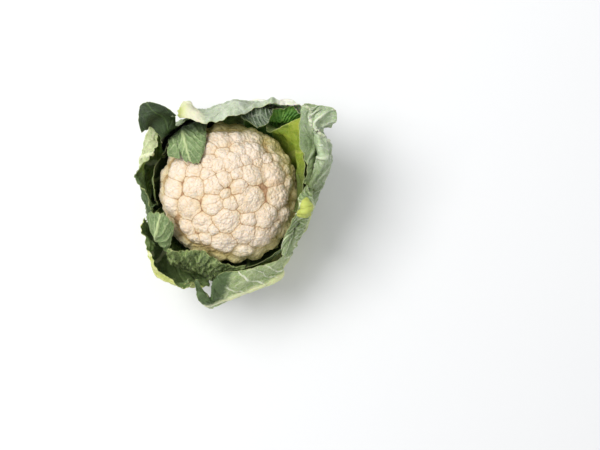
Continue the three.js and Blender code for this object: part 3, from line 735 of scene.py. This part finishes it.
PALE_RIB = ((228, 231, 196), (208, 217, 160))
DARK_INSIDE = ((46, 66, 28), (60, 84, 34), (80, 104, 44))
GREY_OUTSIDE = ((142, 164, 118), (168, 187, 144), (206, 217, 188))
LOOKS = {
    "grey": dict(
        inside=DARK_INSIDE, outside=GREY_OUTSIDE,
        vein_inside=(170, 190, 110), vein_outside=(222, 229, 204), rib_colours=PALE_RIB,
        # Both tints are painted shade: grey-green darkening towards the far margin, where the inner strip
        # lies in the valley's shade, and over the lower side of the rib.
        own_and_painted_tints=[((-200, -190), (0.88, 1.26), (108, 130, 78)), ((-5, -90), (0.0, 0.1), (116, 134, 80))],
    ),
    "pale": dict(
        inside=((84, 108, 50), (110, 134, 64), (140, 160, 92)),
        outside=((152, 166, 134), (178, 190, 162), (206, 213, 194)),
        vein_inside=(170, 190, 120), vein_outside=(222, 228, 206),
        rib_colours=((250, 251, 238), (242, 243, 218)),
        # The first tint is partly the rib's pale colour and partly painted light, whitening the hump by
        # the rib that faces away from the lamp; the second and third are the cream bulge at the far end
        # and its yellow-green end; the last is painted shade, dark green low on the leaf under that bulge.
        own_and_painted_tints=[
            ((12, 2), (0.72, 0.82), (232, 232, 214)), ((84, 98), (0.6, 0.8), (216, 215, 186)),
            ((108, 124), (0.6, 0.8), (198, 206, 120)), ((76, 90), (0.6, 0.5), (52, 70, 36)),
        ],
    ),
    "yellow_back": dict(
        inside=((92, 116, 38), (120, 144, 54), (144, 164, 70)),
        outside=((162, 176, 116), (186, 195, 144), (208, 213, 172)),
        vein_inside=(140, 158, 84), vein_outside=(222, 226, 184), rib_colours=PALE_RIB,
        # Both tints are painted shade: dark green on the parts of the leaf, on either side of the rib,
        # that lie in shade towards its margin.
        own_and_painted_tints=[((14, 32), (0.6, 0.75), (76, 96, 52)), ((-30, -42), (0.6, 0.75), (82, 102, 44))],
    ),
    "golden_back": dict(
        inside=((84, 106, 58), (112, 134, 78), (146, 166, 106)),
        outside=((168, 178, 84), (192, 198, 106), (212, 214, 140)),
        vein_inside=(120, 138, 76), vein_outside=(226, 229, 170), rib_colours=PALE_RIB,
    ),
    "ribbed": dict(
        inside=((62, 92, 38), (84, 116, 48), (110, 140, 64)),
        outside=((138, 162, 96), (164, 184, 120), (196, 208, 154)),
        vein_inside=(180, 198, 120), vein_outside=(246, 248, 224),
        rib_colours=((224, 231, 132), (244, 246, 196)),
        own_and_painted_tints=[((3, 10), (0.87, 0.9), (84, 104, 62))],
    ),
    "bulb": dict(
        inside=DARK_INSIDE, outside=((112, 136, 78), (138, 160, 98), (166, 184, 122)),
        vein_inside=(160, 180, 100), vein_outside=(232, 238, 208),
        rib_colours=((212, 222, 150), (194, 208, 128)), tip=(190, 199, 96),
    ),
    "deep": dict(
        inside=((74, 128, 46), (100, 156, 58), (138, 182, 80)),
        outside=((46, 68, 36), (66, 90, 50), (96, 118, 78)),
        vein_inside=(124, 168, 72), vein_outside=(214, 222, 198),
        rib_colours=((112, 156, 62), (132, 168, 78)), paling=(0.05, 0.3),
    ),
    "glossy": dict(
        inside=((32, 48, 20), (42, 60, 24), (58, 80, 34)), outside=GREY_OUTSIDE,
        vein_inside=(70, 92, 44), vein_outside=(200, 210, 160),
        rib_colours=((60, 80, 38), (76, 98, 48)), gloss=0.46,
        # Painted shade: near black inside the hollow under the curled tip, away from its margin.
        inside_painted_shade=[((-60, -50), (0.8, 0.7), (20, 27, 22))],
    ),
    "dark": dict(
        inside=((36, 50, 24), (48, 66, 28), (60, 80, 34)),
        outside=((84, 104, 58), (104, 126, 74), (126, 146, 92)),
        vein_inside=(76, 96, 48), vein_outside=(160, 176, 122),
        rib_colours=((150, 164, 112), (120, 138, 84)), paling=(0.05, 0.3),
    ),
    "folded": dict(
        inside=DARK_INSIDE, outside=((66, 86, 42), (94, 114, 58), (136, 152, 84)),
        vein_inside=(90, 110, 54), vein_outside=(176, 192, 128),
        rib_colours=((110, 128, 74), (96, 116, 64)), paling=(0.05, 0.3),
    ),
    "yellow_with_painted_light": dict(
        inside=((96, 126, 34), (132, 156, 44), (176, 184, 60)),
        outside=((140, 158, 84), (160, 174, 96), (180, 190, 116)),
        vein_inside=(170, 182, 84), vein_outside=(210, 218, 160),
        rib_colours=((150, 160, 70), (170, 176, 84)),
        # Painted shade, olive dark over the lower side of the rib, and painted light, bright yellow-green
        # along the top margin.
        own_and_painted_tints=[((4, -30), (0.0, 0.1), (90, 104, 48)), ((2, 30), (0.94, 1.2), (170, 178, 56))],
    ),
    "hooded": dict(
        inside=DARK_INSIDE, outside=((98, 124, 72), (120, 146, 92), (150, 170, 118)),
        vein_inside=(150, 172, 100), vein_outside=(196, 209, 158),
        rib_colours=((170, 188, 124), (186, 200, 142)),
        # Painted shadow: dark green on the leaf's lower part, where the rim of the leaf above shades it
        # before the blade comes out over the head.
        own_and_painted_tints=[((-60, -50), (0.86, 0.72), (38, 52, 26))],
    ),
    "mid": dict(
        inside=DARK_INSIDE, outside=((94, 120, 68), (116, 140, 86), (142, 160, 108)),
        vein_inside=(150, 172, 100), vein_outside=(188, 202, 150),
        rib_colours=((176, 192, 128), (190, 202, 146)),
    ),
}


# ---------------------------------------------------------------- curd
CURD_RADIUS = 75.0
CURD_RISE = 54.0
CURD_DROP = 30.0
CURD_LEVEL = 88.0
CURD_OFFSET = -3.0
CURD_FLOOR = CURD_LEVEL - CURD_DROP
CURD_MIDDLE = np.array([CURD_OFFSET, 0.0, CURD_LEVEL])
CURD_CELLS = 98
CURD_SEED = 77
SPREAD_RADIUS = 66  # of the ball whose surface counts how many tops there is room for
SPREAD_JITTER = 0.3
TOP_CROWDING = 0.3  # how much finer the mesh is where it is seen

# The head's lobes as seen from above: x, y, half-width.
CROWN_LOBES = [
    (-12, 58, 11), (8, 60, 9), (24, 61, 11), (-22, 48, 8), (-7, 40, 9),
    (12, 44, 10), (26, 44, 11), (49, 47, 11), (52, 37, 8), (-22, 32, 7),
    (-57, 25, 12), (-64, 4, 12), (-38, 23, 10), (-23, 20, 8), (-10, 29, 8),
    (3, 32, 9), (19, 35, 6), (31, 33, 7), (40, 36, 6), (9, 20, 7),
    (24, 19, 11), (47, 20, 13), (-38, 5, 12), (-17, 7, 11), (-6, 14, 9),
    (12, 5, 8), (53, -5, 14), (22, -9, 14), (-4, -3, 6), (2, -13, 7),
    (-17, -14, 11), (-45, -18, 14), (-67, -14, 10), (-30, -34, 11), (-47, -38, 8),
    (-3, -31, 13), (21, -30, 8), (39, -27, 12), (58, -24, 7), (16, -45, 11),
    (34, -49, 14), (-17, -41, 5), (-26, -51, 8), (-39, -51, 6), (-6, -56, 13),
    (15, -65, 9), (31, -65, 9), (49, -41, 9), (62, 25, 7), (64, 8, 8),
    (-45, 42, 11), (-33, 59, 10), (39, 62, 8), (60, 38, 8),
]
# Rings of lobes round the side: height, radius, how many, half-width.
SIDE_RINGS = [(92, 73, 22, 11), (77, 68, 18, 12), (66, 52, 13, 12)]
LOBE_DEPTH = 0.4  # how far a lobe falls off at its half-width, as a share of it
LOBE_FLOOR = 7.2  # deepest a fold gets
LOBE_LIFTS = (-1.5, 0.8)  # what chance adds to a lobe's height,
LIFT_BY_SIZE = 0.22  # what each mm over the usual half-width adds,
USUAL_HALF = 10.5
LIFT_WAVE = 1.5  # and what a slow wave over the head adds
SHAKE = 1.1  # unevenness of the folds' lines
# The levels that crowd the lobes, coarse to fine: spacing, rise of a top, how sharply it bends.
CLUMPS = (9.5, 0.5, 0.062)
BUDS = (4.9, 0.3, 0.13)
GRAIN_SPACING = 2.8
# What each level adds to the height.
LOBE_SHARE = 0.42
CLUMP_SHARE = 0.22
BUD_SHARE = 0.38
GRAIN_HEIGHT = 0.75
WAVE_HEIGHT = 1.2
RIGHT_SWELL = 2.5  # the head is fuller on its +X side


def dome(directions):
    """Points of the head's bare dome along directions from its middle, and the normals there."""
    tall = np.where(directions[:, 2] > 0, CURD_RISE, CURD_DROP)
    axes = np.column_stack([np.full(len(tall), CURD_RADIUS), np.full(len(tall), CURD_RADIUS), tall])
    reach = 1 / np.linalg.norm(directions / axes, axis=1)
    points = directions * reach[:, None]
    normals = points / axes**2
    return points, normals / np.linalg.norm(normals, axis=1)[:, None]


def curd_lobes():
    """Middles of the head's lobes on its dome, and their half-widths."""
    tops, halves = [], []
    for x, y, half in CROWN_LOBES:
        across = x - CURD_OFFSET
        share = min((across**2 + y**2) / CURD_RADIUS**2, 0.97)
        tops.append((across, y, CURD_RISE * math.sqrt(1 - share)))
        halves.append(half)
    for level, (height, reach, number, half) in enumerate(SIDE_RINGS):
        for i in range(number):
            azimuth = (i + level * 0.5) * 360 / number
            tops.append(polar(azimuth, reach, height - CURD_LEVEL))
            halves.append(half)
    return np.array(tops, float), np.array(halves, float)


def geodesic(n):
    """Even directions over a sphere and the triangles between them: n along an icosahedron's sides."""
    golden = (1 + 5**0.5) / 2
    corners = np.array(
        [(-1, golden, 0), (1, golden, 0), (-1, -golden, 0), (1, -golden, 0),
         (0, -1, golden), (0, 1, golden), (0, -1, -golden), (0, 1, -golden),
         (golden, 0, -1), (golden, 0, 1), (-golden, 0, -1), (-golden, 0, 1)]
    ) / math.hypot(1, golden)
    sides = [
        (0, 11, 5), (0, 5, 1), (0, 1, 7), (0, 7, 10), (0, 10, 11), (1, 5, 9), (5, 11, 4),
        (11, 10, 2), (10, 7, 6), (7, 1, 8), (3, 9, 4), (3, 4, 2), (3, 2, 6), (3, 6, 8),
        (3, 8, 9), (4, 9, 5), (2, 4, 11), (6, 2, 10), (8, 6, 7), (9, 8, 1),
    ]
    steps = [(i, j) for i in range(n + 1) for j in range(n + 1 - i)]
    place = {step: k for k, step in enumerate(steps)}
    weights = np.array([(n - i - j, i, j) for i, j in steps]) / n
    tiles = [
        (place[i, j], place[i + 1, j], place[i, j + 1]) for i in range(n) for j in range(n - i)
    ] + [
        (place[i + 1, j], place[i + 1, j + 1], place[i, j + 1])
        for i in range(n - 1) for j in range(n - 1 - i)
    ]
    points = np.concatenate([weights @ corners[list(side)] for side in sides])
    points /= np.linalg.norm(points, axis=1)[:, None]
    faces = np.concatenate([np.array(tiles) + k * len(weights) for k in range(len(sides))])
    _, first, same = np.unique(np.round(points, 7), axis=0, return_index=True, return_inverse=True)
    return points[first], same.ravel()[faces].tolist()


def crowd_to_top(directions):
    """Moves directions towards +Z, so that the seen part of the head is the finest."""
    fall = np.arccos(np.clip(directions[:, 2], -1, 1))
    new = fall * (1 - TOP_CROWDING + TOP_CROWDING * (fall / math.pi) ** 3)
    flat = np.linalg.norm(directions[:, :2], axis=1)
    unit = directions[:, :2] / np.maximum(flat, 1e-9)[:, None]
    return np.column_stack([unit * np.sin(new)[:, None], np.cos(new)])


def spread_tops(spacing, random):
    """About evenly spread points on the dome, shaken, for tops that are the spacing apart."""
    number = int(4 * math.pi * (SPREAD_RADIUS / spacing) ** 2)
    k = np.arange(number) + 0.5
    height = 1 - 2 * k / number
    turn = math.pi * (1 + 5**0.5) * k
    flat = np.sqrt(1 - height**2)
    points = np.column_stack([flat * np.cos(turn), flat * np.sin(turn), height])
    points += random.normal(scale=SPREAD_JITTER * math.sqrt(4 * math.pi / number), size=points.shape)
    return dome(points / np.linalg.norm(points, axis=1)[:, None])[0]


def two_highest(heights):
    """The highest value in each row, and how far it is above the next."""
    ranked = np.sort(heights, axis=1)
    return ranked[:, -1], ranked[:, -1] - ranked[:, -2]


def near_seeds(points, seeds, number):
    """Indices of and distances to the seeds nearest each point."""
    tree = KDTree(len(seeds))
    for i, seed in enumerate(seeds):
        tree.insert(seed, i)
    tree.balance()
    found = [tree.find_n(p, number) for p in points]
    index = np.array([[hit[1] for hit in hits] for hits in found])
    return index, np.array([[hit[2] for hit in hits] for hits in found])


def crowd(below, spacing, rise, bend, random):
    """A function for the heights of rounded tops that crowd a surface, each middle sitting on it."""
    seeds = spread_tops(spacing, random)
    sizes = random.uniform(0.7, 1.35, len(seeds))
    base = below(seeds)[0] + rise * sizes

    def heights(points):
        index, gap = near_seeds(points, seeds, 7)
        return two_highest(base[index] - bend * gap**2 / sizes[index])

    return heights


def build_curd(material):
    """The head: lobes packed together, smaller tops that crowd each of them, and their grain."""
    random = np.random.default_rng(CURD_SEED)
    directions, faces = geodesic(CURD_CELLS)
    bare, normals = dome(crowd_to_top(directions))
    tops, halves = curd_lobes()
    lifts = random.uniform(*LOBE_LIFTS, len(tops)) + LIFT_BY_SIZE * (halves - USUAL_HALF)
    lifts += LIFT_WAVE * noise(*(tops.T / 32 + 3))

    def lobes(points):
        """Height over the bare dome of the lobes, and how far the highest stands over the next."""
        ratio = np.linalg.norm(points[:, None] - tops[None], axis=2) / halves
        sag = LOBE_DEPTH * halves * ratio**2.6
        return two_highest(lifts - LOBE_FLOOR * (1 - np.exp(-sag / LOBE_FLOOR)))

    shaken = bare + SHAKE * np.stack([noise(*(bare.T / 6 + k * 9)) for k in range(3)], -1)
    clumps = crowd(lobes, *CLUMPS, random)
    buds = crowd(clumps, *BUDS, random)
    lobe_height, lobe_lead = lobes(shaken)
    clump_height, clump_lead = clumps(shaken)
    bud_height, bud_lead = buds(shaken)
    height = LOBE_SHARE * lobe_height + CLUMP_SHARE * clump_height + BUD_SHARE * bud_height

    # Grains: small rounded cells pressed together all over the buds.
    _, gap = near_seeds(shaken, spread_tops(GRAIN_SPACING, random), 2)
    grain = np.clip(1 - (gap[:, 0] / (0.72 * GRAIN_SPACING)) ** 2, 0, 1)
    grain_edge = 1 - smooth(0.0, 0.9, gap[:, 1] - gap[:, 0])
    height = height + GRAIN_HEIGHT * grain + WAVE_HEIGHT * noise(*(bare.T / 30 + 5))
    height = height + RIGHT_SWELL * smooth(30, 60, bare[:, 0] - 0.4 * bare[:, 1])

    points = bare + normals * height[:, None] + CURD_MIDDLE
    points[:, 2] = np.maximum(points[:, 2], CURD_FLOOR)
    # The creases and the depth below the lobes drive the painted shade in the curd's material.
    attributes = {
        "lobe_crease": 1 - smooth(0.0, 1.0, lobe_lead),
        "clump_crease": 1 - smooth(0.0, 0.7, clump_lead),
        "bud_crease": 1 - smooth(0.0, 0.45, bud_lead),
        "grain": grain - 0.5 * grain_edge,
        "depth": -lobe_height,
    }
    return make_piece("head", points, faces, material, "curd", attributes)


def curd_material():
    """Cream buds, with painted shade: thin warm tan lines in the creases between the lobes, and tan in the
    hollows and between the grains.
    """
    s = Shader("Curd")
    where = s.place()
    depth = s.attribute("depth")
    broad = s.noise(where, 22.0, 3.0, 0.55)
    patch = s.noise(where, 110.0, 3.0, 0.6)
    speck = s.noise(where, 900.0, 2.0, 0.6)

    cream = s.mix(s.ease(broad, 0.35, 0.68), srgb(234, 219, 201), srgb(225, 206, 180))
    cream = s.mix(s.ease(patch, 0.42, 0.72, 0.0, 0.5), cream, srgb(240, 230, 215))
    # Painted shade: tan between the grains, deeper tan down in the hollows between the lobes, and thin tan
    # lines along the creases, darkest where the hollows are deep.
    cream = s.mix(s.ease(s.attribute("grain"), -0.4, 0.45, 0.4, 0.0), cream, srgb(224, 202, 162))
    cream = s.mix(s.ease(depth, 1.5, 5.5, 0.0, 0.55), cream, srgb(216, 192, 142))
    fold_shade = s.mix(s.ease(patch, 0.35, 0.65), srgb(140, 96, 62), srgb(184, 144, 104))
    deep = s.ease(s.plus(depth, s.times(broad, 3.0)), 2.4, 5.4, 0.22, 0.95)
    for crease, thinness, strength, tint in [
        ("bud_crease", 1.3, 0.4, srgb(216, 188, 144)),
        ("clump_crease", 1.5, 0.5, srgb(204, 168, 122)),
        ("lobe_crease", 1.8, deep, fold_shade),
    ]:
        cream = s.mix(s.times(s.calc("POWER", s.attribute(crease), thinness), strength), cream, tint)
    cream = s.mix(s.ease(speck, 0.55, 0.75, 0.0, 0.2), cream, srgb(220, 196, 158))

    # Yellow-green round its rim, less so at -X: partly the curd's own yellowish rim, partly painted shade
    # with green light bounced from the leaves, kept off the lit -X side.
    at = s.axes(where)
    low = s.ease(at[2], 0.094, 0.122, 0.85, 0.0)
    cream = s.mix(s.times(low, s.ease(at[0], -0.066, -0.03, 0.3, 1.0)), cream, srgb(210, 198, 122))

    cells = s.ease(s.voronoi(where, 430.0), 0.0, 0.6, 1.0, 0.0)
    bumps = s.plus(s.times(cells, 0.7), s.times(speck, 0.25))
    return s.surface({
        "Base Color": cream,
        "Roughness": s.ease(patch, 0.3, 0.7, 0.62, 0.78),
        "Normal": s.bump(bumps, 0.0009, 0.7),
        "Subsurface Weight": SUBSURFACE_WEIGHT,
        "Subsurface Radius": (1.0, 0.72, 0.42),
        "Subsurface Scale": 0.0015,
        "Specular IOR Level": 0.3,
    })


# ---------------------------------------------------------------- stalk
STALK_TOP = 57.5
# Radius and height, from the middle of the cut face up its side to the middle of its top.
STALK_PROFILE = [
    (0.0, 0.0), (8.0, 0.0), (16.0, 0.0), (21.0, 0.0), (24.0, 0.1), (25.0, 1.5), (24.6, 5.0),
    (24.1, 10.0), (24.0, 14.0), (24.4, 22.0), (25.0, 30.0), (26.6, 37.0), (28.5, 43.0),
    (30.4, 51.0), (31.8, 57.0), (22.0, 57.4), (0.0, STALK_TOP),
]
STALK_TURNS = 120
STALK_ROWS = 80
STALK_INSET = 0.4
STALK_FIBRE = 0.3
STALK_SCAR = 0.5


def build_stalk(material):
    """The stalk: a flat cut face, leaf scars round its side and fibres along it."""
    profile = np.array(STALK_PROFILE)
    length = np.concatenate([[0], np.cumsum(np.linalg.norm(np.diff(profile, axis=0), axis=1))])
    at = np.linspace(0, 1, STALK_ROWS)[1:-1] * length[-1]
    r, z = [np.interp(at, length, column) for column in profile.T]
    angle = np.linspace(0, 2 * math.pi, STALK_TURNS, endpoint=False)
    height, around = np.meshgrid(z, angle, indexing="ij")
    radius = np.repeat(r[:, None], STALK_TURNS, 1)
    on_side = smooth(1.0, 4.0, height) * (1 - smooth(52, 56, height)) * smooth(20, 23, radius)
    fibre = noise(np.cos(around) * 9, np.sin(around) * 9, height / 60)
    scar = noise(np.cos(around) * 2, np.sin(around) * 2, height / 7 + 4)
    radius = radius + on_side * (STALK_FIBRE * fibre + STALK_SCAR * scar - STALK_INSET)
    grid = np.stack([radius * np.cos(around), radius * np.sin(around), height], -1).reshape(-1, 3)
    points = np.concatenate([grid, [[0, 0, 0]], [[0, 0, STALK_TOP]]])

    ids = np.arange(len(grid)).reshape(-1, STALK_TURNS)
    right = np.roll(ids, -1, axis=1)
    low, high = len(grid), len(grid) + 1
    faces = np.stack([ids[:-1], right[:-1], right[1:], ids[1:]], -1).reshape(-1, 4).tolist()
    faces += [[low, b, a] for a, b in zip(ids[0].tolist(), right[0].tolist())]
    faces += [[high, a, b] for a, b in zip(ids[-1].tolist(), right[-1].tolist())]
    return make_piece("cut_stalk", points, faces, material, "stalk")


def stalk_material():
    """Pale green skin, and a cut face with a pale pith in a ring of fibres."""
    s = Shader("Stalk")
    where = s.place()
    x, y, z = s.axes(where)
    radius = s.calc("SQRT", s.plus(s.times(x, x), s.times(y, y)))
    fibres = s.noise(s.scaled(where, (1.0, 1.0, 0.06)), 520.0, 3.0, 0.6)
    patch = s.noise(where, 70.0, 3.0, 0.6)
    skin = s.mix(s.ease(fibres, 0.35, 0.7), srgb(214, 219, 168), srgb(232, 233, 199))
    skin = s.mix(s.ease(patch, 0.45, 0.75, 0.0, 0.6), skin, srgb(178, 194, 118))
    wobble = s.plus(radius, s.times(s.calc("SUBTRACT", patch, 0.5), 0.003))
    pith = s.mix(s.ease(wobble, 0.0135, 0.0165), srgb(238, 233, 208), srgb(206, 196, 146))
    pith = s.mix(s.ease(wobble, 0.019, 0.0225), pith, srgb(222, 220, 178))
    pith = s.mix(s.ease(s.noise(where, 300.0, 3.0, 0.6), 0.5, 0.75, 0.0, 0.5), pith, srgb(190, 166, 112))
    on_side = s.ease(z, 0.0002, 0.0012)
    return s.surface({
        "Base Color": s.mix(on_side, pith, skin),
        "Roughness": s.ease(patch, 0.3, 0.7, 0.45, 0.6),
        "Normal": s.bump(fibres, 0.0006, 0.6),
        "Subsurface Weight": SUBSURFACE_WEIGHT,
        "Subsurface Radius": (0.8, 1.0, 0.5),
        "Subsurface Scale": 0.002,
    })


# ---------------------------------------------------------------- building the cauliflower
build_curd(curd_material())
build_stalk(stalk_material())
for name, leaf in LEAVES.items():
    finish = {**PLAIN_FINISH, **FINISH[name]}
    build_leaf(name, leaf, finish, leaf_material("Leaf_" + name, finish, **LOOKS[finish["look"]]))

# ---------------------------------------------------------------- stage, light and camera
FLOOR_HALF = 6  # metres, as all of this section
FLOOR_COLOUR = (0.86, 0.865, 0.87, 1)
SKY_COLOUR = (0.985, 0.99, 1.0, 1)
SKY_STRENGTH = 0.6
KEY_PLACE = Vector((-1.1, 0.6, 2.1))
KEY_AIM = Vector((0, 0, 0.08))
KEY_SIZE = 1.3
KEY_POWER = 48
LENS = 85
SENSOR = 36


def put(name, data):
    """A new object in the scene."""
    new = bpy.data.objects.new(name, data)
    bpy.context.scene.collection.objects.link(new)
    return new


floor_mesh = bpy.data.meshes.new("Floor")
floor_corners = [(x * FLOOR_HALF, y * FLOOR_HALF, 0) for x, y in ((-1, -1), (1, -1), (1, 1), (-1, 1))]
floor_mesh.from_pydata(floor_corners, [], [(0, 1, 2, 3)])
floor = put("Floor", floor_mesh)
floor_mesh.materials.append(Shader("Floor").surface({"Base Color": FLOOR_COLOUR, "Roughness": 0.8}))

world = bpy.data.worlds.new("Studio")
bpy.context.scene.world = world
world.use_nodes = True
sky = world.node_tree.nodes["Background"]
sky.inputs["Color"].default_value = SKY_COLOUR
sky.inputs["Strength"].default_value = SKY_STRENGTH

key = bpy.data.lights.new("KeyLight", "AREA")
key.energy = KEY_POWER
key.size = KEY_SIZE
lamp = put("KeyLight", key)
lamp.location = KEY_PLACE
lamp.rotation_euler = (KEY_AIM - KEY_PLACE).to_track_quat("-Z", "Y").to_euler()

lens = bpy.data.cameras.new("Camera")
lens.lens = LENS
lens.sensor_width = SENSOR
camera = put("Camera", lens)
camera.location = (VIEW_MIDDLE[0] * MM, VIEW_MIDDLE[1] * MM, VIEW_EYE * MM)
bpy.context.scene.camera = camera
bpy.context.scene.view_settings.view_transform = "Standard"
bpy.context.scene.view_settings.look = "None"
